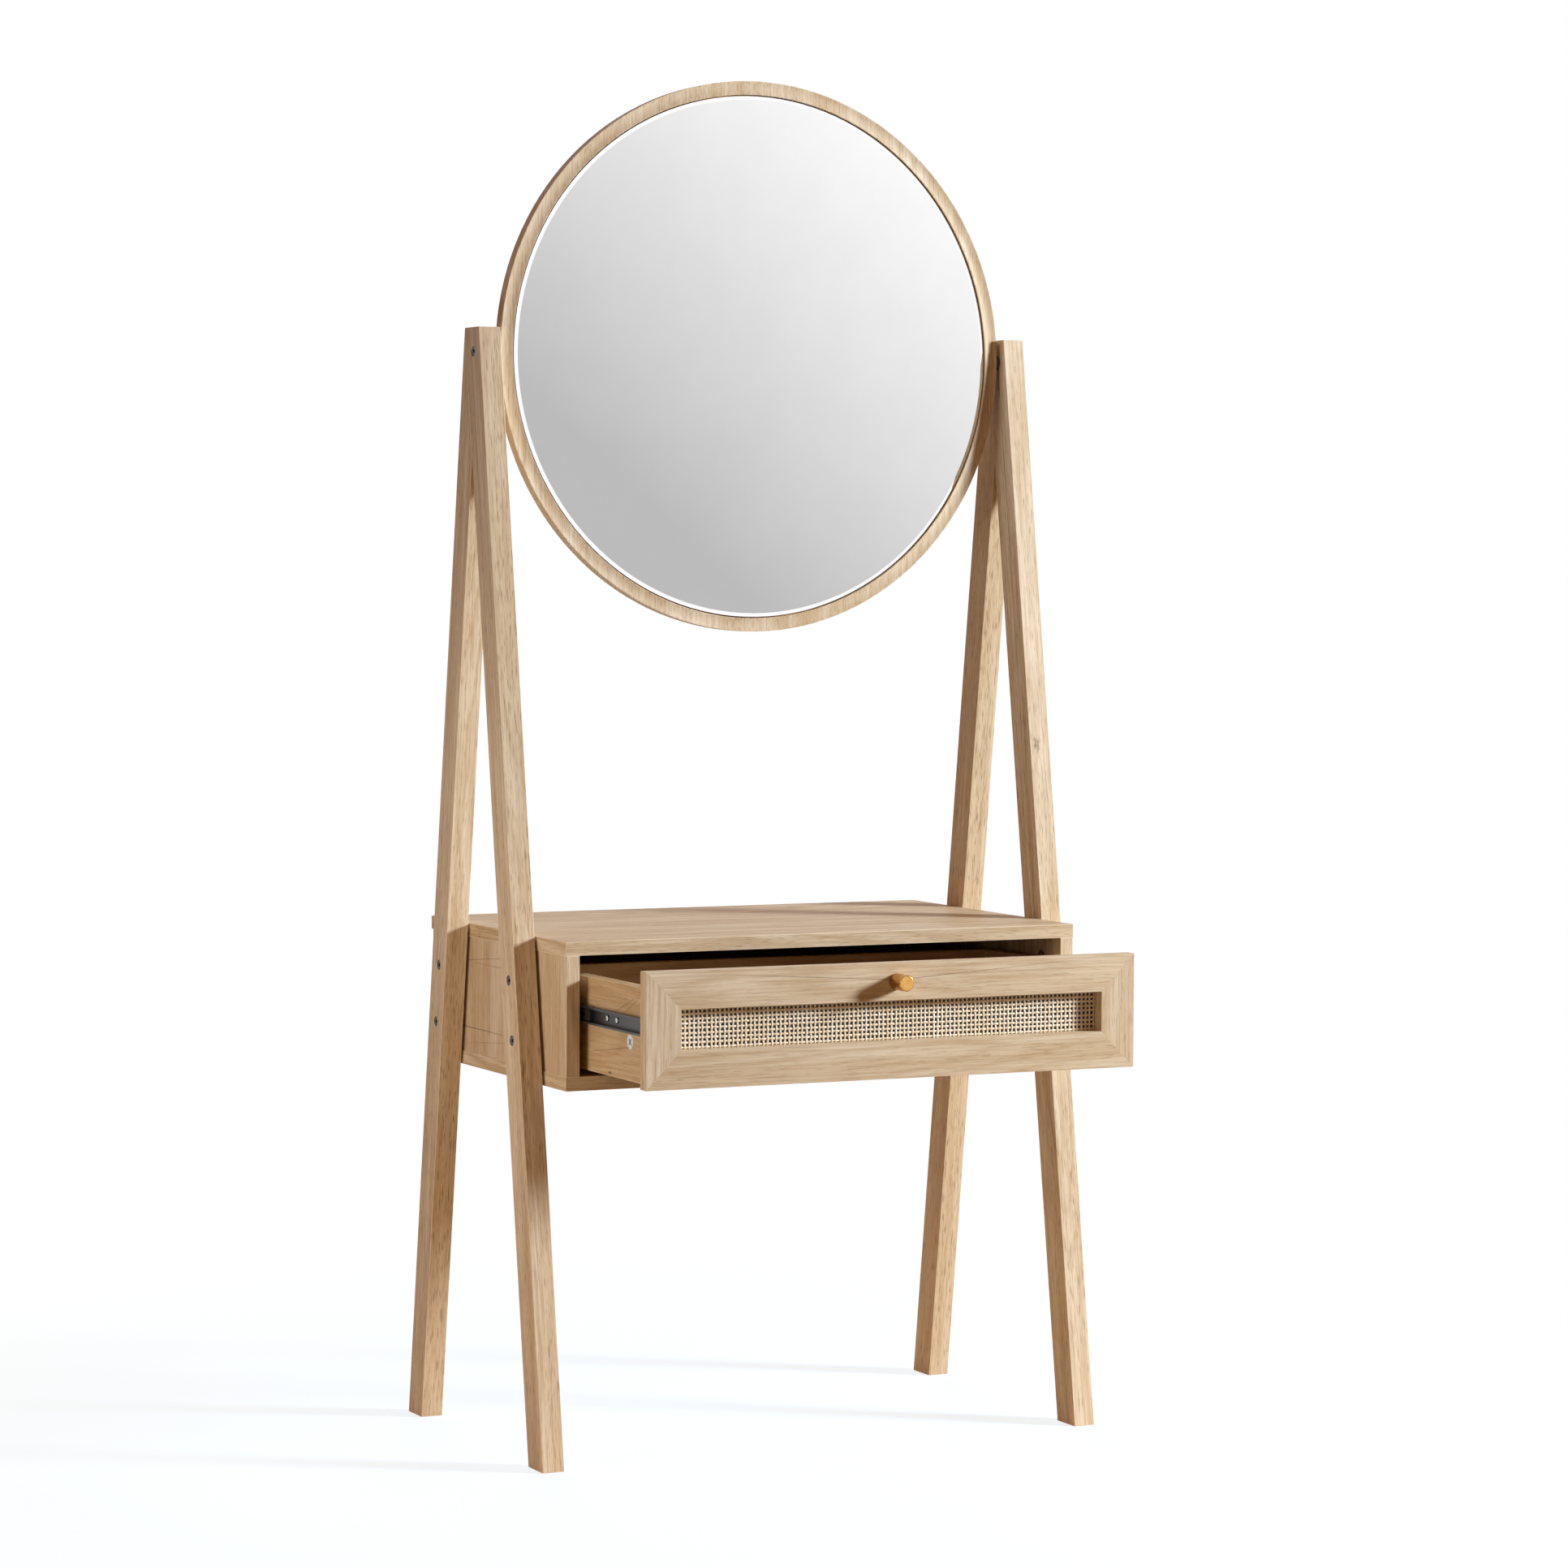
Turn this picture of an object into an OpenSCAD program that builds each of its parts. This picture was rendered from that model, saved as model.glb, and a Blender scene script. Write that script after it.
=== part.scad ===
// Round tilting floor mirror on two A-shaped leg pairs, with a shallow case between them
// and a cane-fronted drawer that runs on ball-bearing slides.
// X is to the right, Y to the back, Z up. The floor is at Z = 0, and Y is counted from the
// front of the case while the pieces are drawn. place() then puts the origin under the middle
// of the whole object, as it stands with its drawer open.

/* [Case] */
// Width of the top and bottom panels
case_w = 614; // [520:1:760]
// Depth of the top and bottom panels
case_d = 390; // [380:1:480]
// Height of the top surface above the floor
top_z = 564; // [450:1:680]
// Height of the case, over its top and bottom panels
case_h = 159; // [150:1:200]
// Thickness of the board that the panels are cut from
panel_t = 15; // [13:0.5:19]
// How far the side panels stand in from the ends of the top panel
side_inset = 1; // [0.5:0.5:4]
// How far the side panels stop short of the rear edge of the top panel
back_inset = 5; // [4.5:0.5:12]
// Thickness of the hardboard back
back_t = 3; // [2:0.5:4]

/* [Legs] */
// Height of the legs
leg_h = 1220; // [1000:1:1450]
// Thickness of a leg, from side to side
leg_t = 25; // [20:1:35]
// Depth of a leg, square to its length
leg_deep = 40; // [32:1:60]
// Gap between a leg and the end of the top panel
leg_gap = 3; // [1:0.5:8]
// Middle of the front foot, behind the case front
front_foot_y = 14; // [0:1:60]
// Rear edge of the rear foot, behind the case front
rear_foot_y = 389; // [340:1:480]
// Height between the two bolts that hold a leg to the case
bolt_pitch = 64; // [48:1:80]

/* [Mirror] */
// Tilt axis below the top of the legs
pivot_drop = 26; // [20:1:80]
// Gap between the mirror and each leg
mirror_gap = 4; // [2:0.5:12]
// Width of the wooden ring, seen from the front
ring_w = 15; // [14:0.5:40]
// Depth of the wooden ring
ring_deep = 15; // [13:0.5:24]
// Depth of the hollow worked into the face of the ring
ring_hollow = 1.1; // [0.3:0.1:1.5]
// Thickness of the glass
glass_t = 5; // [3:0.5:6]
// Width of the ground bevel round the glass
bevel_w = 4; // [1:0.5:12]
// Depth of the ground bevel
bevel_deep = 1.2; // [0.5:0.1:2.5]
// Joint between the glass and the ring
glass_joint = 1.5; // [0.5:0.1:3]
// How far the glass lies behind the face of the ring
glass_recess = 0.5; // [0:0.1:2]

/* [Drawer] */
// How far the drawer stands open
drawer_open = 168; // [0:1:200]
// Whole travel of the drawer on its slides
drawer_travel = 210; // [200:1:215]
// Gap between the drawer front and each side panel
front_gap_side = 2.5; // [1.5:0.5:5]
// Gap above the drawer front
front_gap_top = 3.5; // [1.5:0.5:6]
// Gap below the drawer front
front_gap_bottom = 2.5; // [1.5:0.5:6]
// Thickness of the drawer front
front_t = 15; // [13:0.5:20]
// Width of the rails and stiles of the drawer front
rail_w = 40; // [36:1:46]
// Height of the drawer sides
box_h = 100; // [92:1:110]
// Length of the drawer sides and of the slides
box_deep = 300; // [280:1:310]
// Lower edge of the drawer sides above the lower edge of the drawer front
box_lift = 4; // [2:0.5:8]
// Thickness of the drawer bottom
floor_t = 3; // [2.5:0.5:5]
// Drawer bottom above the lower edge of the drawer sides
floor_lift = 10; // [8:0.5:12]
// Thickness of the woven cane
cane_t = 1.2; // [0.8:0.1:2]
// Thickness of the board behind the cane
backing_t = 2.5; // [2:0.5:4]
// How far the cane reaches past the opening, all round
cane_lap = 12; // [9:0.5:13]
// Diameter of the knob
knob_d = 17.5; // [12:0.5:30]
// Length of the knob
knob_len = 25; // [18:0.5:35]

/* [Slides] */
// Space between a case side and a drawer side
slide_gap = 10.5; // [10.5:0.1:13]
// Height of the slide's middle above the middle of the case
slide_rise = 2.5; // [-4:0.5:4]
// Height of the runner that is screwed to the drawer side
runner_h = 16.5; // [14:0.5:20]
// Thickness of the slide's sheet steel
sheet = 1.2; // [1:0.1:1.4]
// Diameter of the bearing balls
ball_d = 4; // [3:0.5:4]
// Front end of the rail behind the case front
rail_setback = 20; // [17:1:24]

/* [Fastenings] */
// Diameter of the leg and pivot bolts
bolt_d = 6; // [5:1:8]
// Diameter of a bolt's head
bolt_head_d = 11.6; // [9:0.1:16]
// Height of a bolt's head
bolt_head_h = 6; // [3:0.5:8]
// Diameter of the threaded inserts
insert_d = 9; // [7.5:0.5:10]
// Diameter of the wooden dowels
dowel_d = 8; // [6:1:9]
// Length of the wooden dowels
dowel_len = 30; // [26:1:35]
// Diameter of a cam lock
cam_d = 15; // [12:1:15]
// Cam to joint in the case
case_cam_set = 24; // [20:1:34]
// Cam to joint in the drawer sides
drawer_cam_set = 44; // [30:1:50]

/* [Hidden] */

// Clearances. fit is the radial room round a pin, dowel or bolt, and cut is how far a
// cutting shape runs past the face that it opens.
fit = 0.05;
seat_gap = 0.1;
running_gap = 0.3;
cut = 1;
round_fn = 48;
ring_fn = 240;

// Case
case_z = top_z - case_h;
case_mid_z = case_z + case_h / 2;
side_out = case_w / 2 - side_inset;
side_in = side_out - panel_t;
side_mid = side_out - panel_t / 2;
side_deep = case_d - back_inset;
cavity_z = case_z + panel_t;
cavity_h = case_h - 2 * panel_t;
back_clear = 0.5;

// Fastenings
bolt_recess = 1;
bore_d = bolt_d + 2 * fit;
head_hole_d = bolt_head_d + 0.4;
head_hole_deep = bolt_head_h + bolt_recess;
socket_d = 4.6;
socket_deep = 3;
insert_len = 12;
insert_recess = 0.2;
spacer_d = 16;
dowel_set = 11;
pin_thread_d = 5;
pin_set = 11;
pin_d = 6;
pin_bore_d = 8;
pin_past_cam = 3;
cam_h = 12;
cam_cross_w = 1.6;
cam_cross_len = 9;
cam_cross_deep = 1.5;
screw_d = 3;
screw_head_d = 6;
screw_head_h = 1.6;
dowel_margin = 20;
cam_margin = 45;
case_dowel_ys = [dowel_margin, side_deep - dowel_margin];
case_cam_ys = [cam_margin, side_deep - cam_margin];

// Legs, which lean in the Y-Z plane. The front leg's middle line goes through the tilt axis,
// and the rear leg is mitred against the rear face of the front leg.
pivot_y = case_d / 2;
pivot_h = leg_h - pivot_drop;
leg_in = case_w / 2 + leg_gap;
leg_out = leg_in + leg_t;
front_lean = (pivot_y - front_foot_y) / pivot_h;
front_level = leg_deep * sqrt(1 + pow(front_lean, 2));
apex_y = pivot_y + front_lean * (leg_h - pivot_h) + front_level / 2;
rear_lean = (rear_foot_y - apex_y) / leg_h;
rear_level = leg_deep * sqrt(1 + pow(rear_lean, 2));
fork_drop = rear_level / (front_lean + rear_lean);
leg_bolt_zs = [case_mid_z - bolt_pitch / 2, case_mid_z + bolt_pitch / 2];
spacer_len = leg_in - side_out;
apex_dowel_drops = [0.62 * fork_drop, 0.87 * fork_drop];

// Mirror
mirror_r = leg_in - mirror_gap;
ring_in_r = mirror_r - ring_w;
ring_lip = 0.8;
ring_hollow_r = (pow(ring_w / 2 - ring_lip, 2) + pow(ring_hollow, 2)) / (2 * ring_hollow);
ring_y = pivot_y - ring_deep / 2;
glass_r = ring_in_r - glass_joint;
glass_y = ring_y + glass_recess;
pad_t = 0.5;
pad_d = 70;
pad_circle_r = 0.62 * glass_r;
pads_round = 6;
backing_y = glass_y + glass_t + pad_t;
mirror_backing_t = ring_y + ring_deep - backing_y;
backing_joint = 0.1;
pivot_insert_len = min(insert_len, ring_w - 2);
plates_round = 8;
plate_len = 34;
plate_w = 14;
plate_t = 1.5;
plate_screw_r = [ring_in_r + ring_w / 2, ring_in_r - 12];
plate_screw_len = 8;

// Drawer front, with its front face at front_y while the drawer stands open
front_y = -drawer_open;
box_y = front_y + front_t;
box_back_y = box_y + box_deep;
front_w = 2 * (side_in - front_gap_side);
front_z = cavity_z + front_gap_bottom;
front_h = cavity_h - front_gap_top - front_gap_bottom;
front_top_z = front_z + front_h;
opening_w = front_w - 2 * rail_w;
opening_h = front_h - 2 * rail_w;
cane_y = box_y;
backing_board_y = cane_y + cane_t;
cane_clear = 1.5;
key_side = 14;
key_t = 3;
key_room = 0.1;
knob_z = front_top_z - rail_w / 2;
knob_chamfer = 0.8;
knob_screw_d = 4;
knob_screw_set = 10;
knob_head_d = 8;
knob_head_h = 2.4;
backing_screw_set = 6;
backing_screw_len = 11;
backing_screws_across = 4;

// Drawer box
box_out = side_in - slide_gap;
box_in = box_out - panel_t;
box_mid = box_out - panel_t / 2;
box_z = front_z + box_lift;
floor_z = box_z + floor_lift;
groove_deep = 6;
groove_room = 0.2;
floor_clear = 0.5;
drawer_cam_z = box_z + 41;
drawer_dowel_zs = [box_z + 29, box_z + box_h - 14];
back_screw_zs = [box_z + 25, box_z + box_h - 22];
back_screw_d = 4;
back_screw_len = 40;
back_screw_head_d = 7.5;
back_screw_head_h = 2.4;

// Slides, drawn across as u from the case side towards the drawer side, and v up
slide_z = case_mid_z + slide_rise;
runner_half = runner_h / 2;
race_half = runner_half + ball_d + 2 * fit;
rail_half = race_half + sheet;
rail_deep = slide_gap - 1;
slide_lip = 1;
runner_free_u = 2.6;
ball_u = (runner_free_u + rail_deep) / 2;
ball_v = (runner_half + race_half) / 2;
stop_tab = 2;
rail_y = rail_setback;
runner_y = box_y;
extra_travel = drawer_travel - drawer_open;
runner_stop_y = runner_y + box_deep - stop_tab;
rail_stop_y = rail_y + stop_tab;
cage_room = 0.5;
cage_len = runner_stop_y - extra_travel - rail_stop_y - 2 * cage_room;
cage_y = rail_stop_y + cage_room + extra_travel / 2;
cage_sheet = 0.6;
cage_u = sheet + 0.4;
cage_reach_u = rail_deep - sheet - 0.4;
cage_foot = 1.35;
balls_in_row = 7;
ball_hole_d = ball_d + 0.2;
ball_pitch = cage_len / balls_in_row;
stop_tab_v = 1.4;
lever_len = 60;
lever_back = 137;
lever_room = 0.85;
lever_t = 4.6;
lever_slot_w = 3;
lever_slot_len = 34;
rail_screw_ys = [rail_y + 35, rail_y + 0.53 * box_deep, rail_y + box_deep - 35];
runner_screw_ys = [runner_y + 75, runner_y + 100, runner_y + box_deep - 40];
slide_screw_len = 11;
slide_screw_head_d = 6.4;
slide_screw_head_h = 1.8;
bumper_y = runner_y + drawer_open + box_deep + running_gap;

// Origin under the middle of the whole object
place_y = (drawer_open + knob_len - case_d) / 2;

function front_axis_y(z) = pivot_y - front_lean * (pivot_h - z);
function rear_axis_y(z) = rear_foot_y - rear_lean * z - rear_level / 2;
function leg_bolt_points(z) = [[front_axis_y(z), z], [rear_axis_y(z), z]];
function across(count, span) = [for (i = [0:count - 1]) span * (i / (count - 1) - 0.5)];

// ---- helpers ----

module place() {
    translate([0, place_y, 0]) children();
}

module both_sides() {
    children();
    mirror([1, 0, 0]) children();
}

module mirrored_if(yes) {
    mirror([yes ? 1 : 0, 0, 0]) children();
}

// A round bar along +X, +Y or +Z from a point
module bar_x(point, d, len) {
    translate(point) rotate([0, 90, 0]) cylinder(d = d, h = len, $fn = round_fn);
}

module bar_y(point, d, len) {
    translate(point) rotate([-90, 0, 0]) cylinder(d = d, h = len, $fn = round_fn);
}

module bar_z(point, d, len) {
    translate(point) cylinder(d = d, h = len, $fn = round_fn);
}

// An outline in Y and Z, given thickness along +X
module slab_x(x, thick, outline) {
    translate([x, 0, 0]) rotate([90, 0, 90]) linear_extrude(thick) polygon(outline);
}

// An outline in X and Z, given thickness along +Y
module slab_y(y, thick, outline) {
    translate([0, y + thick, 0]) rotate([90, 0, 0]) linear_extrude(thick) polygon(outline);
}

// Screw along +X whose head lies before the point: the head's underside is at the point
module screw_x(point, d, len, head_d, head_h) {
    bar_x(point, d, len);
    bar_x(point - [head_h, 0, 0], head_d, head_h);
}

// Screw along -Y whose head's underside is at the point
module screw_back(point, d, len, head_d, head_h) {
    bar_y(point - [0, len, 0], d, len);
    bar_y(point, head_d, head_h);
}

// ---- legs, drawn on the right ----

// Clearance hole and head recess that a bolt needs in a leg
module leg_bore(y, z) {
    bar_x([leg_in - cut, y, z], bore_d, leg_t + 2 * cut);
    bar_x([leg_out - head_hole_deep, y, z], head_hole_d, head_hole_deep + cut);
}

// The dowels that hold the mitre, square to the joint
module apex_dowel_pair(d) {
    for (drop = apex_dowel_drops)
        translate([leg_in + leg_t / 2, apex_y - front_lean * drop, leg_h - drop])
            rotate([-90 - atan(front_lean), 0, 0])
                translate([0, 0, -dowel_len / 2]) cylinder(d = d, h = dowel_len, $fn = round_fn);
}

module front_leg() {
    foot = front_axis_y(0) - front_level / 2;
    difference() {
        slab_x(leg_in, leg_t, [
            [foot, 0],
            [foot + front_level, 0],
            [apex_y, leg_h],
            [apex_y - front_level, leg_h]
        ]);
        for (z = leg_bolt_zs) leg_bore(front_axis_y(z), z);
        leg_bore(pivot_y, pivot_h);
        apex_dowel_pair(dowel_d + 2 * fit);
    }
}

module rear_leg() {
    difference() {
        slab_x(leg_in, leg_t, [
            [rear_foot_y - rear_level, 0],
            [rear_foot_y, 0],
            [apex_y, leg_h],
            [apex_y - front_lean * fork_drop, leg_h - fork_drop]
        ]);
        for (z = leg_bolt_zs) leg_bore(rear_axis_y(z), z);
        apex_dowel_pair(dowel_d + 2 * fit);
    }
}

module left_front_leg() color("burlywood") place() mirrored_if(true) front_leg();
module right_front_leg() color("burlywood") place() front_leg();
module left_rear_leg() color("burlywood") place() mirrored_if(true) rear_leg();
module right_rear_leg() color("burlywood") place() rear_leg();
module apex_dowels() color("wheat") place() both_sides() apex_dowel_pair(dowel_d);

// A socket-head bolt that points inwards from the outer face of a right-hand leg
module socket_bolt(y, z, head_x, len) {
    difference() {
        union() {
            bar_x([head_x - len, y, z], bolt_d, len);
            bar_x([head_x, y, z], bolt_head_d, bolt_head_h);
        }
        translate([head_x + bolt_head_h - socket_deep, y, z])
            rotate([0, 90, 0]) cylinder(d = socket_d, h = socket_deep + cut, $fn = 6);
    }
}

module leg_bolts() {
    head_x = leg_out - head_hole_deep;
    len = head_x - side_out + insert_len - 1;
    color("#1c1b1a") place() both_sides()
        for (z = leg_bolt_zs) for (point = leg_bolt_points(z))
            socket_bolt(point[0], point[1], head_x, len);
}

module leg_inserts() {
    color("silver") place() both_sides()
        for (z = leg_bolt_zs) for (point = leg_bolt_points(z)) difference() {
            bar_x([side_out - insert_len, point[0], z], insert_d, insert_len - insert_recess);
            bar_x([side_out - insert_len - cut, point[0], z], bore_d, insert_len + 2 * cut);
        }
}

module leg_spacers() {
    color("dimgray") place() both_sides()
        for (z = leg_bolt_zs) for (point = leg_bolt_points(z)) difference() {
            bar_x([side_out, point[0], z], spacer_d, spacer_len);
            bar_x([side_out - cut, point[0], z], bore_d, spacer_len + 2 * cut);
        }
}

// ---- case ----

// Holes for dowels and cam pins in the face of the top or bottom panel
module panel_face_holes(face_z, into) {
    both_sides() {
        for (y = case_dowel_ys)
            bar_z([side_mid, y, min(face_z, face_z + into * dowel_set)], dowel_d + 2 * fit, dowel_set);
        for (y = case_cam_ys)
            bar_z([side_mid, y, min(face_z, face_z + into * pin_set)], pin_thread_d + 2 * fit, pin_set);
    }
}

module case_top() {
    color("tan") place() difference() {
        translate([-case_w / 2, 0, top_z - panel_t]) cube([case_w, case_d, panel_t]);
        panel_face_holes(top_z - panel_t, 1);
    }
}

module case_bottom() {
    color("tan") place() difference() {
        translate([-case_w / 2, 0, case_z]) cube([case_w, case_d, panel_t]);
        panel_face_holes(cavity_z, -1);
    }
}

// The right-hand side panel, with its edge bores, cam holes, inserts and slide screw holes
module side_panel() {
    dowel_hole = dowel_len - dowel_set;
    difference() {
        translate([side_in, 0, cavity_z]) cube([panel_t, side_deep, cavity_h]);
        for (y = case_dowel_ys) {
            bar_z([side_mid, y, cavity_z - cut], dowel_d + 2 * fit, dowel_hole + cut);
            bar_z([side_mid, y, cavity_z + cavity_h - dowel_hole], dowel_d + 2 * fit, dowel_hole + cut);
        }
        for (y = case_cam_ys) {
            bar_z([side_mid, y, cavity_z - cut], pin_bore_d, case_cam_set + cut);
            bar_z([side_mid, y, cavity_z + cavity_h - case_cam_set], pin_bore_d, case_cam_set + cut);
            for (z = [cavity_z + case_cam_set, cavity_z + cavity_h - case_cam_set])
                bar_x([side_in - cut, y, z], cam_d, cam_h + cut);
        }
        for (z = leg_bolt_zs) for (point = leg_bolt_points(z))
            bar_x([side_out - insert_len, point[0], z], insert_d + 2 * fit, insert_len + cut);
        for (y = rail_screw_ys)
            bar_x([side_in - cut, y, slide_z], screw_d + 2 * fit, slide_screw_len - sheet + cut);
        for (z = back_screw_rows())
            bar_y([side_mid, side_deep - 12, z], screw_d + 2 * fit, 12 + cut);
    }
}

function back_screw_rows() = [for (v = across(3, cavity_h - 40)) case_mid_z + v];

module case_left_side() color("tan") place() mirrored_if(true) side_panel();
module case_right_side() color("tan") place() side_panel();

module case_back() {
    color("saddlebrown") place() difference() {
        translate([-side_out + back_clear, side_deep, cavity_z + back_clear])
            cube([2 * (side_out - back_clear), back_t, cavity_h - 2 * back_clear]);
        both_sides() for (z = back_screw_rows())
            bar_y([side_mid, side_deep - cut, z], screw_d + 2 * fit, back_t + 2 * cut);
    }
}

module case_dowels() {
    color("wheat") place() both_sides() for (y = case_dowel_ys) {
        bar_z([side_mid, y, cavity_z - dowel_set + seat_gap], dowel_d, dowel_len - 2 * seat_gap);
        bar_z([side_mid, y, cavity_z + cavity_h + dowel_set - dowel_len + seat_gap],
            dowel_d, dowel_len - 2 * seat_gap);
    }
}

// A cam lock with its face at the origin, looking along -X, and its slot along the pin
module cam_lock(pin_turn) {
    difference() {
        bar_x([0, 0, 0], cam_d - 2 * fit, cam_h - seat_gap);
        rotate([pin_turn, 0, 0])
            bar_z([panel_t / 2, 0, -cam_d / 2 - cut], pin_bore_d, cam_d + 2 * cut);
        for (turn = [45, 135])
            rotate([turn, 0, 0]) translate([-cut, -cam_cross_w / 2, -cam_cross_len / 2])
                cube([cam_cross_deep + cut, cam_cross_w, cam_cross_len]);
    }
}

module case_cam_locks() {
    color("silver") place() both_sides() for (y = case_cam_ys)
        for (z = [cavity_z + case_cam_set, cavity_z + cavity_h - case_cam_set])
            translate([side_in, y, z]) cam_lock(0);
}

// A cam pin along +Z from the bottom of its thread
module cam_pin(set) {
    bar_z([0, 0, seat_gap], pin_thread_d, pin_set - seat_gap);
    bar_z([0, 0, pin_set], pin_d, set + pin_past_cam);
}

module case_cam_pins() {
    color("silver") place() both_sides() for (y = case_cam_ys) {
        translate([side_mid, y, cavity_z - pin_set]) cam_pin(case_cam_set);
        translate([side_mid, y, cavity_z + cavity_h + pin_set])
            mirror([0, 0, 1]) cam_pin(case_cam_set);
    }
}

module back_screws() {
    color("silver") place() both_sides() for (z = back_screw_rows())
        screw_back([side_mid, side_deep + back_t, z], screw_d, 12, screw_head_d, 1);
}

// ---- slides, drawn on the right-hand wall of the case ----

// Puts u, v drawings on the wall: u runs from the case side towards the drawer
module on_wall() {
    translate([side_in, 0, slide_z]) mirror([1, 0, 0]) children();
}

module slide_rail() {
    race = race_half;
    on_wall() difference() {
        union() {
            slab_y(rail_y, box_deep, [
                [0, -rail_half], [rail_deep, -rail_half],
                [rail_deep, -race + slide_lip], [rail_deep - sheet, -race + slide_lip],
                [rail_deep - sheet, -race], [sheet, -race],
                [sheet, race], [rail_deep - sheet, race],
                [rail_deep - sheet, race - slide_lip], [rail_deep, race - slide_lip],
                [rail_deep, rail_half], [0, rail_half]
            ]);
            for (up = [-1, 1]) translate([ball_u - 2, rail_y, up * (race - stop_tab_v / 2) - stop_tab_v / 2])
                cube([4, stop_tab, stop_tab_v]);
        }
        for (y = rail_screw_ys) bar_x([-cut, y, 0], screw_d + 2 * fit, sheet + 2 * cut);
    }
}

module runner() {
    half = runner_half;
    near = slide_gap - sheet;
    on_wall() difference() {
        union() {
            slab_y(runner_y, box_deep, [
                [slide_gap, -half], [runner_free_u + sheet, -half],
                [runner_free_u + sheet, -half - slide_lip], [runner_free_u, -half - slide_lip],
                [runner_free_u, -half + sheet], [near, -half + sheet],
                [near, half - sheet], [runner_free_u, half - sheet],
                [runner_free_u, half + slide_lip], [runner_free_u + sheet, half + slide_lip],
                [runner_free_u + sheet, half], [slide_gap, half]
            ]);
            for (up = [-1, 1])
                translate([ball_u - 2, runner_stop_y, up * (half + stop_tab_v / 2) - stop_tab_v / 2])
                    cube([4, stop_tab, stop_tab_v]);
        }
        for (y = runner_screw_ys) bar_x([near - cut, y, 0], screw_d + 2 * fit, sheet + 2 * cut);
    }
}

// The two strips that keep the balls of one slide apart
module ball_cage() {
    on_wall() for (up = [0, 1]) mirror([0, 0, up]) difference() {
        union() {
            translate([cage_u, cage_y, ball_v - cage_sheet / 2])
                cube([cage_reach_u - cage_u, cage_len, cage_sheet]);
            translate([cage_u, cage_y, ball_v - cage_sheet / 2])
                cube([cage_sheet, cage_len, cage_foot + cage_sheet / 2]);
        }
        for (i = [0:balls_in_row - 1])
            bar_z([ball_u, cage_y + (i + 0.5) * ball_pitch, ball_v - cut], ball_hole_d, 2 * cut);
    }
}

module ball_rows() {
    on_wall() for (up = [-1, 1]) for (i = [0:balls_in_row - 1])
        translate([ball_u, cage_y + (i + 0.5) * ball_pitch, up * ball_v])
            sphere(d = ball_d, $fn = round_fn);
}

// A screw through a slide member into the panel behind it
module rail_screw(y) {
    on_wall() translate([sheet, y, 0]) mirror([1, 0, 0])
        screw_x([0, 0, 0], screw_d, slide_screw_len - seat_gap, slide_screw_head_d, slide_screw_head_h);
}

module runner_screw(y) {
    on_wall() screw_x([slide_gap - sheet, y, 0], screw_d, slide_screw_len - seat_gap,
        slide_screw_head_d, slide_screw_head_h);
}

// The plastic catch in the runner that lets the drawer be lifted off
module release_lever() {
    half = runner_half - sheet - lever_room;
    on_wall() difference() {
        translate([slide_gap - sheet - lever_t, runner_y + lever_back, -half])
            cube([lever_t, lever_len, 2 * half]);
        translate([slide_gap - sheet - lever_t - cut, runner_y + lever_back + 13, -lever_slot_w / 2])
            cube([lever_t - 1 + cut, lever_slot_len, lever_slot_w]);
    }
}

// The rubber stop that the runner meets when the drawer is shut
module slide_bumper() {
    on_wall() translate([sheet, bumper_y, -runner_half])
        cube([rail_deep - 2 * sheet, rail_y + box_deep - bumper_y, 2 * runner_half]);
}

module left_slide_rail() color("#232323") place() mirrored_if(true) slide_rail();
module right_slide_rail() color("#232323") place() slide_rail();
module rail_screws() color("silver") place() both_sides() for (y = rail_screw_ys) rail_screw(y);
module slide_bumpers() color("black") place() both_sides() slide_bumper();
module left_ball_cage() color("gray") place() mirrored_if(true) ball_cage();
module right_ball_cage() color("gray") place() ball_cage();
module slide_balls() color("gainsboro") place() both_sides() ball_rows();
module left_runner() color("#232323") place() mirrored_if(true) runner();
module right_runner() color("#232323") place() runner();
module runner_screws() color("silver") place() both_sides() for (y = runner_screw_ys) runner_screw(y);
module release_levers() color("black") place() both_sides() release_lever();

// ---- drawer front ----

// The loose key in each mitre, with room to slide it in
module corner_keys(room) {
    for (x = [-1, 1]) for (z = [-1, 1])
        translate([x * (front_w - rail_w) / 2, front_y + front_t / 2, front_z + front_h / 2 + z * (front_h - rail_w) / 2])
            rotate([0, 45, 0])
                cube([key_side + 2 * room, key_t + 2 * room, key_side + 2 * room], center = true);
}

// What every piece of the drawer front has cut out of it, where it meets the rest
module front_cuts() {
    corner_keys(key_room);
    drawer_floor(groove_room, groove_deep);
    both_sides() {
        bar_y([box_mid, box_y - pin_set, drawer_cam_z], pin_thread_d + 2 * fit, pin_set + cut);
        for (z = drawer_dowel_zs) bar_y([box_mid, box_y - dowel_set, z], dowel_d + 2 * fit, dowel_set + cut);
    }
    for (point = backing_screw_points())
        bar_y([point[0], box_y - backing_screw_len, point[1]], screw_d + 2 * fit, backing_screw_len + cut);
    bar_y([0, front_y - cut, knob_z], knob_screw_d + 2 * fit, front_t + 2 * cut);
}

// A rail: 1 for the top one, -1 for the bottom one
module front_rail(up) {
    middle = front_z + front_h / 2;
    outer = middle + up * front_h / 2;
    inner = outer - up * rail_w;
    difference() {
        slab_y(front_y, front_t, [
            [-front_w / 2, outer], [front_w / 2, outer],
            [front_w / 2 - rail_w, inner], [rail_w - front_w / 2, inner]
        ]);
        front_cuts();
    }
}

module front_stile() {
    difference() {
        slab_y(front_y, front_t, [
            [front_w / 2, front_z], [front_w / 2, front_top_z],
            [front_w / 2 - rail_w, front_top_z - rail_w], [front_w / 2 - rail_w, front_z + rail_w]
        ]);
        front_cuts();
    }
}

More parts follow.
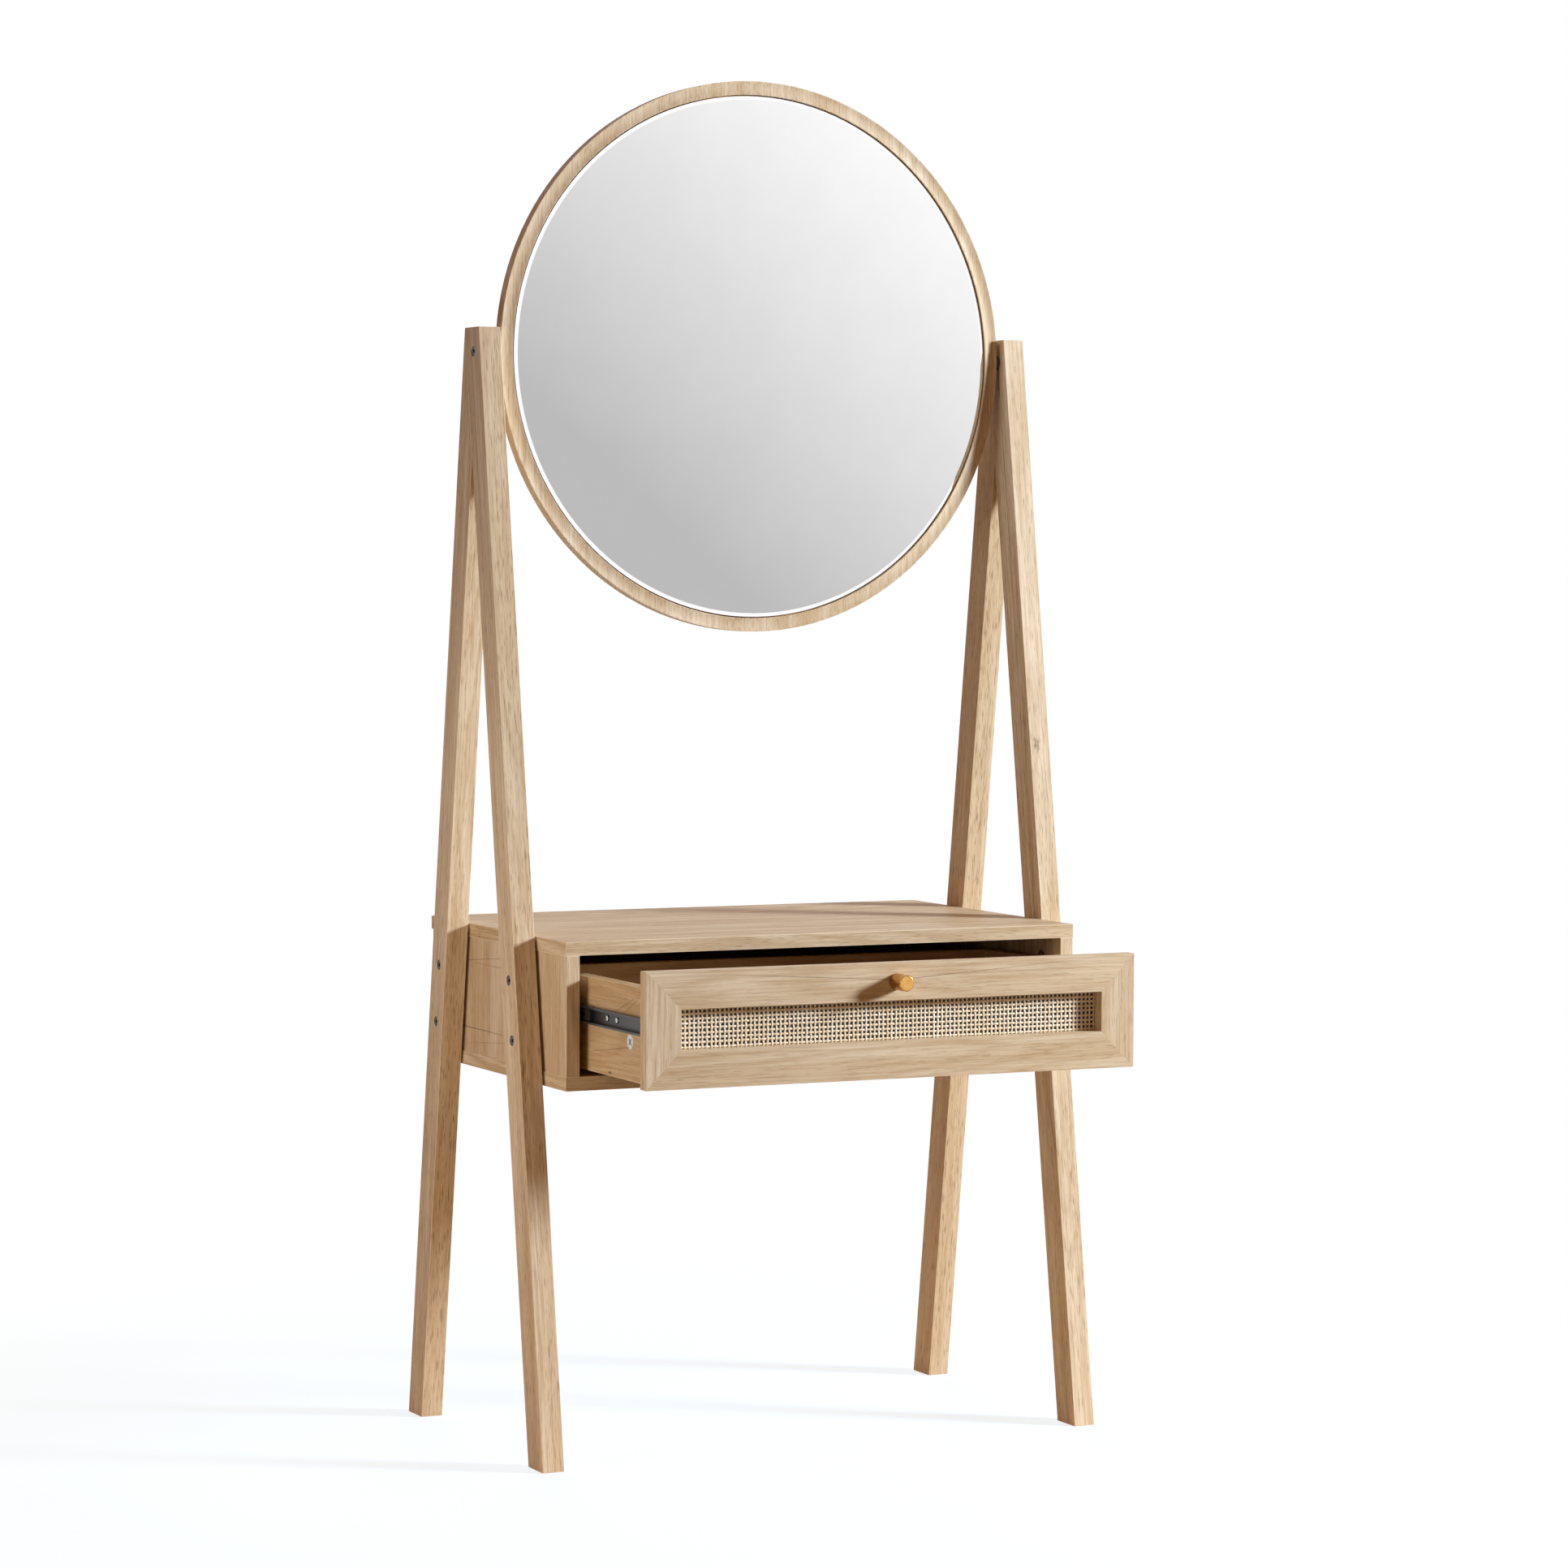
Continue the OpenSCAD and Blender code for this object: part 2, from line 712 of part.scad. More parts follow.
module front_top_rail() color("tan") place() front_rail(1);
module front_bottom_rail() color("tan") place() front_rail(-1);
module front_left_stile() color("tan") place() mirrored_if(true) front_stile();
module front_right_stile() color("tan") place() front_stile();
module front_corner_keys() color("wheat") place() corner_keys(0);

// The flat pieces behind the opening of the drawer front
module behind_opening(y, thick) {
    translate([-opening_w / 2 - cane_lap, y, front_z + rail_w - cane_lap])
        cube([opening_w + 2 * cane_lap, thick, opening_h + 2 * cane_lap]);
}

function backing_screw_points() = [
    for (x = across(backing_screws_across, opening_w - 40)) for (up = [-1, 1])
        [x, front_z + front_h / 2 + up * (opening_h / 2 + cane_lap - backing_screw_set)]
];

module backing_screw_holes(y, thick) {
    for (point = backing_screw_points())
        bar_y([point[0], y - cut, point[1]], screw_d + 2 * fit, thick + 2 * cut);
}

module cane_panel() {
    color("wheat") place() difference() {
        behind_opening(cane_y, cane_t);
        backing_screw_holes(cane_y, cane_t);
    }
}

module cane_backing() {
    color("#161412") place() difference() {
        behind_opening(backing_board_y, backing_t);
        backing_screw_holes(backing_board_y, backing_t);
    }
}

module backing_screws() {
    rear = backing_board_y + backing_t;
    color("silver") place() for (point = backing_screw_points())
        screw_back([point[0], rear, point[1]], screw_d, rear - box_y + backing_screw_len - seat_gap,
            screw_head_d, screw_head_h);
}

// ---- knob, on the middle of the top rail ----

module knob() {
    color("goldenrod") place() translate([0, front_y, knob_z]) rotate([90, 0, 0]) difference() {
        rotate_extrude($fn = round_fn) polygon([
            [0, 0], [knob_d / 2, 0], [knob_d / 2, knob_len - knob_chamfer],
            [knob_d / 2 - knob_chamfer, knob_len], [0, knob_len]
        ]);
        bar_z([0, 0, -cut], knob_screw_d + 2 * fit, knob_screw_set + cut);
    }
}

module knob_screw() {
    color("silver") place()
        screw_back([0, box_y, knob_z], knob_screw_d, front_t + knob_screw_set - seat_gap,
            knob_head_d, knob_head_h);
}

// ---- drawer box ----

// The drawer bottom, or the grooves that it lies in
module drawer_floor(room, reach) {
    translate([-box_in - reach, box_y - reach, floor_z])
        cube([2 * (box_in + reach), box_deep - panel_t + 2 * reach, floor_t + room]);
}

module box_side() {
    dowel_hole = dowel_len - dowel_set;
    difference() {
        translate([box_in, box_y, box_z]) cube([panel_t, box_deep, box_h]);
        drawer_floor(groove_room, groove_deep);
        bar_y([box_mid, box_y - cut, drawer_cam_z], pin_bore_d, drawer_cam_set + cut);
        bar_x([box_out - cam_h, box_y + drawer_cam_set, drawer_cam_z], cam_d, cam_h + cut);
        for (z = drawer_dowel_zs) bar_y([box_mid, box_y - cut, z], dowel_d + 2 * fit, dowel_hole + cut);
        for (z = back_screw_zs) {
            bar_x([box_in - cut, box_back_y - panel_t / 2, z], back_screw_d + 2 * fit, panel_t + 2 * cut);
            bar_x([box_out - back_screw_head_h - fit, box_back_y - panel_t / 2, z],
                back_screw_head_d + 2 * fit, back_screw_head_h + cut);
        }
        for (y = runner_screw_ys)
            bar_x([box_out - slide_screw_len + sheet, y, slide_z], screw_d + 2 * fit, slide_screw_len);
    }
}

module drawer_left_side() color("burlywood") place() mirrored_if(true) box_side();
module drawer_right_side() color("burlywood") place() box_side();

module drawer_back() {
    color("burlywood") place() difference() {
        translate([-box_in, box_back_y - panel_t, box_z]) cube([2 * box_in, panel_t, box_h]);
        drawer_floor(groove_room, groove_deep);
        both_sides() for (z = back_screw_zs)
            bar_x([box_out - back_screw_len, box_back_y - panel_t / 2, z],
                back_screw_d + 2 * fit, back_screw_len);
    }
}

module drawer_bottom() color("peru") place() drawer_floor(0, groove_deep - floor_clear);

module drawer_dowels() {
    color("wheat") place() both_sides() for (z = drawer_dowel_zs)
        bar_y([box_mid, box_y - dowel_set + seat_gap, z], dowel_d, dowel_len - 2 * seat_gap);
}

module drawer_cam_locks() {
    color("silver") place() both_sides()
        translate([box_out, box_y + drawer_cam_set, drawer_cam_z]) mirror([1, 0, 0]) cam_lock(90);
}

module drawer_cam_pins() {
    color("silver") place() both_sides()
        translate([box_mid, box_y - pin_set, drawer_cam_z]) rotate([-90, 0, 0]) cam_pin(drawer_cam_set);
}

module drawer_back_screws() {
    color("silver") place() both_sides() for (z = back_screw_zs)
        translate([box_out - back_screw_head_h, box_back_y - panel_t / 2, z]) mirror([1, 0, 0])
            screw_x([0, 0, 0], back_screw_d, back_screw_len - back_screw_head_h - seat_gap,
                back_screw_head_d, back_screw_head_h);
}

// ---- mirror ----

// Puts drawings on the tilt axis, with Z along +Y, away from the viewer
module at_mirror(y) {
    translate([0, y, pivot_h]) rotate([-90, 0, 0]) children();
}

module pivot_insert_holes() {
    both_sides() bar_x([mirror_r - pivot_insert_len, pivot_y, pivot_h], insert_d + 2 * fit, pivot_insert_len + cut);
}

module plate_screw_holes(from_y, len) {
    for (i = [0:plates_round - 1]) for (r = plate_screw_r)
        translate([0, 0, pivot_h]) rotate([0, (i + 0.5) * 360 / plates_round, 0])
            bar_y([r, from_y, 0], screw_d + 2 * fit, len);
}

module mirror_ring() {
    rear = ring_y + ring_deep;
    color("burlywood") place() difference() {
        at_mirror(ring_y) cylinder(r = mirror_r, h = ring_deep, $fn = ring_fn);
        at_mirror(ring_y - cut) cylinder(r = ring_in_r, h = ring_deep + 2 * cut, $fn = ring_fn);
        at_mirror(ring_y) rotate_extrude($fn = ring_fn)
            translate([mirror_r - ring_w / 2, ring_hollow - ring_hollow_r])
                circle(r = ring_hollow_r, $fn = ring_fn);
        pivot_insert_holes();
        plate_screw_holes(rear - plate_screw_len + plate_t, plate_screw_len);
    }
}

module mirror_glass() {
    color("lightsteelblue") place() at_mirror(glass_y) rotate_extrude($fn = ring_fn) polygon([
        [0, 0], [glass_r - bevel_w, 0], [glass_r, bevel_deep], [glass_r, glass_t], [0, glass_t]
    ]);
}

module mirror_backing() {
    rear = ring_y + ring_deep;
    color("sienna") place() difference() {
        at_mirror(backing_y) cylinder(r = ring_in_r - backing_joint, h = mirror_backing_t, $fn = ring_fn);
        plate_screw_holes(rear - plate_screw_len + plate_t, plate_screw_len);
    }
}

module glass_pads() {
    color("white") place() at_mirror(glass_y + glass_t) {
        cylinder(d = pad_d, h = pad_t, $fn = round_fn);
        for (i = [0:pads_round - 1]) rotate(i * 360 / pads_round)
            translate([pad_circle_r, 0, 0]) cylinder(d = pad_d, h = pad_t, $fn = round_fn);
    }
}

module retaining_plates() {
    rear = ring_y + ring_deep;
    inner = plate_screw_r[1] - plate_w / 2;
    color("silver") place() difference() {
        for (i = [0:plates_round - 1]) translate([0, 0, pivot_h]) rotate([0, (i + 0.5) * 360 / plates_round, 0])
            translate([inner, rear, -plate_w / 2]) cube([min(plate_len, mirror_r - inner - 1), plate_t, plate_w]);
        plate_screw_holes(rear - cut, plate_t + 2 * cut);
    }
}

module plate_screws() {
    rear = ring_y + ring_deep + plate_t;
    color("silver") place() for (i = [0:plates_round - 1]) for (r = plate_screw_r)
        translate([0, 0, pivot_h]) rotate([0, (i + 0.5) * 360 / plates_round, 0])
            screw_back([r, rear, 0], screw_d, plate_screw_len - seat_gap, screw_head_d, screw_head_h);
}

module pivot_bolts() {
    head_x = leg_out - head_hole_deep + seat_gap;
    color("#1c1b1a") place() both_sides()
        socket_bolt(pivot_y, pivot_h, head_x, head_x - mirror_r + pivot_insert_len - 1);
}

module pivot_inserts() {
    color("silver") place() both_sides() difference() {
        bar_x([mirror_r - pivot_insert_len, pivot_y, pivot_h], insert_d, pivot_insert_len - insert_recess);
        bar_x([mirror_r - pivot_insert_len - cut, pivot_y, pivot_h], bore_d, pivot_insert_len + 2 * cut);
    }
}

module pivot_spacers() {
    color("dimgray") place() both_sides() difference() {
        bar_x([mirror_r + seat_gap, pivot_y, pivot_h], spacer_d, mirror_gap - 2 * seat_gap);
        bar_x([mirror_r - cut, pivot_y, pivot_h], bore_d, mirror_gap + 2 * cut);
    }
}

left_front_leg();
left_rear_leg();
right_front_leg();
right_rear_leg();
apex_dowels();
leg_bolts();
leg_inserts();
leg_spacers();
case_top();
case_bottom();
case_left_side();
case_right_side();
case_back();
case_dowels();
case_cam_locks();
case_cam_pins();
back_screws();
left_slide_rail();
right_slide_rail();
rail_screws();
slide_bumpers();
left_ball_cage();
right_ball_cage();
slide_balls();
left_runner();
right_runner();
runner_screws();
release_levers();
front_top_rail();
front_bottom_rail();
front_left_stile();
front_right_stile();
front_corner_keys();
cane_panel();
cane_backing();
backing_screws();
drawer_left_side();
drawer_right_side();
drawer_back();
drawer_bottom();
drawer_dowels();
drawer_cam_locks();
drawer_cam_pins();
drawer_back_screws();
knob();
knob_screw();
mirror_ring();
mirror_glass();
mirror_backing();
glass_pads();
retaining_plates();
plate_screws();
pivot_bolts();
pivot_inserts();
pivot_spacers();
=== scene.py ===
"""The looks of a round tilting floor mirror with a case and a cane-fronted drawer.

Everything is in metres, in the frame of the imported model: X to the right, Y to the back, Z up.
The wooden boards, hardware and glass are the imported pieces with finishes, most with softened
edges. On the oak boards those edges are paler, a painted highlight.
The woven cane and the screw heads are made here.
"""

import math
import random

import bmesh
import bpy
from mathutils import Matrix, Vector


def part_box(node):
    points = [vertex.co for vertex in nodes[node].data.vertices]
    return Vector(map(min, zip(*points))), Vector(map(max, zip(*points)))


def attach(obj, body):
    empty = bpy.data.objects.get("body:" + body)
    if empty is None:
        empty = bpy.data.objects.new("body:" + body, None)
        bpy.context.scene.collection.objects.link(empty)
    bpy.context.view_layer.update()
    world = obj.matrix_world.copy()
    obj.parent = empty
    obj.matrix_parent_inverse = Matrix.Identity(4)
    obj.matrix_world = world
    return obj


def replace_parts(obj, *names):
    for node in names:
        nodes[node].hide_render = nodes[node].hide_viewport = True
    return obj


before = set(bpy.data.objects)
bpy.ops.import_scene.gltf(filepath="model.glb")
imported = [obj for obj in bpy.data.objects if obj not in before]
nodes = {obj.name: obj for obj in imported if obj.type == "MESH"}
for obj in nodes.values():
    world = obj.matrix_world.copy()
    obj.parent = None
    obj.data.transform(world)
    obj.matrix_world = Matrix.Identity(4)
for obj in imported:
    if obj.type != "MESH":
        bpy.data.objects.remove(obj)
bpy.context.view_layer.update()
MM = 0.001
WHITE = (1.0, 1.0, 1.0, 1.0)


# ---- small helpers ----

def linear(hex_colour):
    """An sRGB hex colour as linear RGBA."""
    parts = [int(hex_colour[i:i + 2], 16) / 255 for i in (1, 3, 5)]
    return [c / 12.92 if c <= 0.04045 else ((c + 0.055) / 1.055) ** 2.4 for c in parts] + [1.0]


def add(tree, kind, inputs=None, **settings):
    """Adds a shader node with its settings and its inputs, which go by name or by number.

    An input is given a plain value, a socket to link, or a node whose first output is linked.
    """
    node = tree.nodes.new("ShaderNode" + kind)
    for name, value in settings.items():
        setattr(node, name, value)
    used = [socket for socket in node.inputs if socket.enabled]
    for name, value in (inputs or {}).items():
        socket = used[name] if isinstance(name, int) else next(s for s in used if s.name == name)
        if isinstance(value, bpy.types.Node):
            value = next(s for s in value.outputs if s.enabled)
        if isinstance(value, bpy.types.NodeSocket):
            tree.links.new(value, socket)
        else:
            socket.default_value = value
    return node


def new_material(name):
    """An empty material, with its node tree."""
    made = bpy.data.materials.new(name)
    made.use_nodes = True
    made.node_tree.nodes.clear()
    return made, made.node_tree


def on_piece(tree, turn=(0, 0, 0), start=(0, 0, 0)):
    """Places on the piece in millimetres, turned so that its grain runs along X."""
    place = add(tree, "TexCoord").outputs["Object"]
    return add(tree, "Mapping", {"Vector": place, "Rotation": turn, "Scale": (1 / MM,) * 3,
                                 "Location": start})


def streaks(tree, place, size, low, high, detail=2.0, ragged=0.5, bend=0.0, most=1.0):
    """Marks of a size in mm along and across the grain: 0 below low, and most above high."""
    along, across = size
    spot = add(tree, "Mapping", {"Vector": place, "Scale": (1 / along, 1 / across, 1 / across)})
    cloud = add(tree, "TexNoise", {"Vector": spot, "Scale": 1.0, "Detail": detail,
                                   "Roughness": ragged, "Distortion": bend})
    return add(tree, "MapRange", {"Value": cloud, "From Min": low, "From Max": high,
                                  "To Max": most})


# ---- camera ----

CAMERA_PLACE = (-2.2305, -4.6364, 0.9812)
CAMERA_HEADING = -25.647  # degrees, to the right of straight ahead
CAMERA_PITCH = -2.891
CAMERA_ROLL = 0.236
CAMERA_LENS = 107.14  # mm, on a 36 mm sensor


def make_camera():
    """The camera, in front of the object and to its left."""
    data = bpy.data.cameras.new("camera")
    data.lens = CAMERA_LENS
    data.sensor_width = 36
    camera = bpy.data.objects.new("camera", data)
    turn = (Matrix.Rotation(math.radians(CAMERA_HEADING), 4, "Z")
            @ Matrix.Rotation(math.radians(90 + CAMERA_PITCH), 4, "X")
            @ Matrix.Rotation(math.radians(CAMERA_ROLL), 4, "Z"))
    camera.matrix_world = Matrix.Translation(CAMERA_PLACE) @ turn
    bpy.context.scene.collection.objects.link(camera)
    bpy.context.scene.camera = camera


# ---- wood ----

# Light oak-grain foil on board: long soft streaks, dark pores as short dashes, arched lines
# where the figure is wide, and a small knot now and then. Satin lacquer over it.
GRAIN_X = (0.0, 0.0, 0.0)
GRAIN_Y = (0.0, 0.0, -math.pi / 2)
GRAIN_Z = (0.0, math.pi / 2, 0.0)
OAK = {"light": "#ebddc5", "mid": "#d9c4a4", "dark": "#c2a680", "pore": "#8f7050",
       "knot": "#5d4029"}
# Painted highlight: paler foil on the softened edges, in place of the light they catch
OAK_PAINTED_HIGHLIGHT = {"light": "#fff5e2", "mid": "#f8ead0", "dark": "#e8d3b0", "pore": "#cdb48c",
            "knot": "#a98a62"}
INSIDE_OAK = {"light": "#e3cfad", "mid": "#d2b68d", "dark": "#bd9c72", "pore": "#94724c",
              "knot": "#6b4a2e"}
# Sizes of the marks in mm, along the grain and across it
BAND = (520, 30)    # broad changes of tone
ARCH = (640, 74)    # the arched lines of a plain-sawn face
STREAK = (95, 2.1)
PORE = (17, 1.1)    # a real pore is 0.3 wide, which would not show
KNOT = (250, 96)    # between places where a knot may be
KNOT_RIM = (9, 4)
NO_KNOT = 0.6       # the share of those places that have none
KNOT_FADE = (0.032, 0.062)  # where a knot starts to fade and ends, as shares of its place
KNOT_AMOUNT = 0.85
ARCH_LINES = 13
PORE_DEPTH = 0.12 * MM
END_FACE = 0.7      # a face is an end face where its normal has more of X than this
PATTERN = 900       # mm of the pattern that the pieces are cut from
WOOD_SEED = 7


def oak(name, grain, start, tones=OAK, figure=0.5, pores=0.5, end_grain=None, gloss_level=0.10):
    """Oak-grain foil. grain turns the grain to X, and end_grain does so on the X faces."""
    made, tree = new_material(name)
    place = on_piece(tree, grain, start)
    if end_grain:
        normal = add(tree, "SeparateXYZ", {0: add(tree, "NewGeometry").outputs["Normal"]})
        sideways = add(tree, "Math", {0: normal.outputs["X"]}, operation="ABSOLUTE")
        end = add(tree, "Math", {0: sideways, 1: END_FACE}, operation="GREATER_THAN")
        place = add(tree, "Mix", {"Factor": end, "A": place, "B": on_piece(tree, end_grain, start)},
                    data_type="VECTOR")
    band = streaks(tree, place, BAND, 0.34, 0.66, 3, 0.55, 0.4)
    streak = streaks(tree, place, STREAK, 0.42, 0.72, 2.5, 0.6, most=0.75)
    swell = streaks(tree, place, ARCH, 0.0, 1.0, 1.5, 0.4, 0.25, most=ARCH_LINES)
    ring = add(tree, "Math", {0: swell, 1: 0.5}, operation="PINGPONG")
    arch = add(tree, "MapRange", {"Value": ring, "From Max": 0.34, "To Min": figure, "To Max": 0.0})
    # Pores crowd together in the dark bands, as the spring wood does
    crowd = add(tree, "MapRange", {"Value": band, "To Min": 0.35 * pores, "To Max": pores})
    pore = add(tree, "Math", {0: streaks(tree, place, PORE, 0.56, 0.68, 1.5), 1: crowd},
               operation="MULTIPLY")
    cell = add(tree, "Mapping", {"Vector": place, "Scale": (1 / KNOT[0], 1 / KNOT[1], 1 / KNOT[1])})
    cells = add(tree, "TexVoronoi", {"Vector": cell, "Scale": 1.0})
    lot = add(tree, "SeparateColor", {"Color": cells.outputs["Color"]})
    here = add(tree, "Math", {0: lot, 1: NO_KNOT}, operation="GREATER_THAN")
    reach = add(tree, "Math", {0: cells.outputs["Distance"],
                               1: streaks(tree, place, KNOT_RIM, 0.3, 0.7, 3, most=0.05)})
    spot = add(tree, "MapRange", {"Value": reach, "From Min": KNOT_FADE[0],
                                  "From Max": KNOT_FADE[1], "To Min": KNOT_AMOUNT, "To Max": 0.0})
    knot = add(tree, "Math", {0: here, 1: spot}, operation="MULTIPLY")
    tone = linear(tones["light"])
    for amount, tint in ((band, "mid"), (streak, "dark"), (arch, "dark"), (pore, "pore"),
                         (knot, "knot")):
        tone = add(tree, "Mix", {"Factor": amount, "A": tone, "B": linear(tones[tint])},
                   data_type="RGBA")
    dents = add(tree, "Bump", {"Height": pore, "Strength": 0.35, "Distance": PORE_DEPTH},
                invert=True)
    gloss = add(tree, "MapRange", {"Value": streak, "To Min": 0.42, "To Max": 0.56})
    foil = add(tree, "BsdfPrincipled", {"Base Color": tone, "Roughness": gloss, "Normal": dents,
                                        "Specular IOR Level": gloss_level})
    add(tree, "OutputMaterial", {"Surface": foil})
    return made


def pressed_fibre(name, colour, shade, grit, rough):
    """Pressed wood fibre: an even brown, cloudy, with fine specks of the fibre in it."""
    made, tree = new_material(name)
    place = on_piece(tree)
    fibre = streaks(tree, place, (grit, grit), 0.35, 0.65, 3, 0.65)
    tone = add(tree, "Mix", {"Factor": fibre, "A": linear(colour), "B": linear(shade)},
               data_type="RGBA")
    tone = add(tree, "Mix", {"Factor": streaks(tree, place, (90, 90), 0.3, 0.7, most=0.35),
                             "A": tone, "B": linear(shade)}, data_type="RGBA")
    fuzz = add(tree, "Bump", {"Height": fibre, "Strength": 0.25, "Distance": 0.1 * MM})
    board = add(tree, "BsdfPrincipled", {"Base Color": tone, "Roughness": rough, "Normal": fuzz})
    add(tree, "OutputMaterial", {"Surface": board})
    return made


# ---- metals, plastics, glass ----

def plated(name, colour, shade, rough, spread, grit):
    """Plated or bare steel, whose gloss is broken by fine marks grit mm apart."""
    made, tree = new_material(name)
    marks = streaks(tree, on_piece(tree), (grit, grit), 0.3, 0.7, 3, 0.6)
    tone = add(tree, "Mix", {"Factor": marks, "A": linear(colour), "B": linear(shade)},
               data_type="RGBA")
    gloss = add(tree, "MapRange", {"Value": marks, "To Min": rough, "To Max": rough + spread})
    rub = add(tree, "Bump", {"Height": marks, "Strength": 0.12, "Distance": 0.02 * MM})
    steel = add(tree, "BsdfPrincipled", {"Base Color": tone, "Metallic": 1.0, "Roughness": gloss,
                                         "Normal": rub})
    add(tree, "OutputMaterial", {"Surface": steel})
    return made


def coated(name, colour, shade, rough, grit, gloss=0.5):
    """A coat of paint, or plastic, rubber or foam, with a fine grain in its surface."""
    made, tree = new_material(name)
    grain = streaks(tree, on_piece(tree), (grit, grit), 0.3, 0.7, 3, 0.6)
    tone = add(tree, "Mix", {"Factor": grain, "A": linear(colour), "B": linear(shade)},
               data_type="RGBA")
    sheen = add(tree, "MapRange", {"Value": grain, "To Min": rough, "To Max": rough + 0.1})
    peel = add(tree, "Bump", {"Height": grain, "Strength": 0.2, "Distance": 0.03 * MM})
    coat = add(tree, "BsdfPrincipled", {"Base Color": tone, "Roughness": sheen, "Normal": peel,
                                        "Specular IOR Level": gloss})
    add(tree, "OutputMaterial", {"Surface": coat})
    return made


def turned_brass(name, centre, rough):
    """Brass turned on a lathe: fine rings round its axis, which blur its gloss."""
    made, tree = new_material(name)
    place = on_piece(tree, start=[-c / MM for c in centre])
    parts = add(tree, "SeparateXYZ", {0: place})
    flat = add(tree, "CombineXYZ", {"X": parts.outputs["X"], "Z": parts.outputs["Z"]})
    radius = add(tree, "VectorMath", {0: flat}, operation="LENGTH").outputs["Value"]
    rings = add(tree, "CombineXYZ", {"X": radius, "Y": parts.outputs["Y"]})
    marks = streaks(tree, rings, (0.33, 0.5), 0.3, 0.7, 3, 0.7)
    tone = add(tree, "Mix", {"Factor": marks, "A": linear("#d6a763"), "B": linear("#bd8a48")},
               data_type="RGBA")
    tone = add(tree, "Mix", {"Factor": streaks(tree, place, (7, 7), 0.35, 0.7, most=0.4),
                             "A": tone, "B": linear("#a8743a")}, data_type="RGBA")
    gloss = add(tree, "MapRange", {"Value": marks, "To Min": rough, "To Max": rough + 0.14})
    grooves = add(tree, "Bump", {"Height": marks, "Strength": 0.25, "Distance": 0.03 * MM})
    brass = add(tree, "BsdfPrincipled", {"Base Color": tone, "Metallic": 1.0, "Roughness": gloss,
                                         "Normal": grooves})
    add(tree, "OutputMaterial", {"Surface": brass})
    return made


def silvered_glass(name):
    """Float glass with silver behind it: a clean mirror, with the faintest haze of dust."""
    made, tree = new_material(name)
    dust = streaks(tree, on_piece(tree), (60, 60), 0.3, 0.7, 4, 0.6)
    tone = add(tree, "Mix", {"Factor": dust, "A": linear("#fefefe"), "B": linear("#fbfbfb")},
               data_type="RGBA")
    haze = add(tree, "MapRange", {"Value": dust, "To Min": 0.006, "To Max": 0.02})
    silver = add(tree, "BsdfPrincipled", {"Base Color": tone, "Metallic": 1.0, "Roughness": haze})
    add(tree, "OutputMaterial", {"Surface": silver})
    return made


def split_cane(name, grain):
    """Peeled, unbleached cane: pale straw with honey streaks and a slight natural gloss."""
    made, tree = new_material(name)
    place = on_piece(tree, grain)
    fibre = streaks(tree, place, (12, 0.5), 0.45, 0.75, 3, 0.6, most=0.5)
    tone = add(tree, "Mix", {"Factor": streaks(tree, place, (70, 5.0), 0.38, 0.66),
                             "A": linear("#fff6e4"), "B": linear("#f1e0bf")}, data_type="RGBA")
    tone = add(tree, "Mix", {"Factor": fibre, "A": tone, "B": linear("#c39c68")},
               data_type="RGBA")
    gloss = add(tree, "MapRange", {"Value": fibre, "To Min": 0.34, "To Max": 0.60})
    ridges = add(tree, "Bump", {"Height": fibre, "Strength": 0.3, "Distance": 0.05 * MM})
    cane = add(tree, "BsdfPrincipled", {"Base Color": tone, "Roughness": gloss, "Normal": ridges,
                                        "Specular IOR Level": 0.5})
    add(tree, "OutputMaterial", {"Surface": cane})
    return made


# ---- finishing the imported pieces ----

EDGE_ROUND = 0.5 * MM
FRONT_ROUND = 0.2 * MM  # the mitred pieces of the drawer's front meet in a hairline
RIM_ROUND = 0.6 * MM    # of the knob
EDGE_STEPS = 2
WELD_GAP = 0.002 * MM
SHARP = math.radians(28)
LEG_LEVEL = 40.4 * MM   # depth of a leg where the floor cuts it


def finish(node, material, edge=None, width=EDGE_ROUND):
    """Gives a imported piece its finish, and an edge of its own finish where edge is given."""
    piece = nodes[node]
    piece.data.materials.clear()
    piece.data.materials.append(material)
    if edge:
        piece.data.materials.append(edge)
        weld = piece.modifiers.new("weld", "WELD")
        weld.merge_threshold = WELD_GAP
        bevel = piece.modifiers.new("soft_edges", "BEVEL")
        bevel.width = width
        bevel.segments = EDGE_STEPS
        bevel.limit_method = "ANGLE"
        bevel.angle_limit = SHARP
        bevel.material = 1
        bevel.use_clamp_overlap = False
        bevel.harden_normals = True


def leg_grain(node):
    """The turn that brings a leg's grain, which runs along its lean, to X."""
    low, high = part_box(node)
    lean = (high.y - low.y - LEG_LEVEL) / (high.z - low.z)
    if "rear" in node:
        lean = -lean
    return (math.atan(lean), math.pi / 2, 0.0)


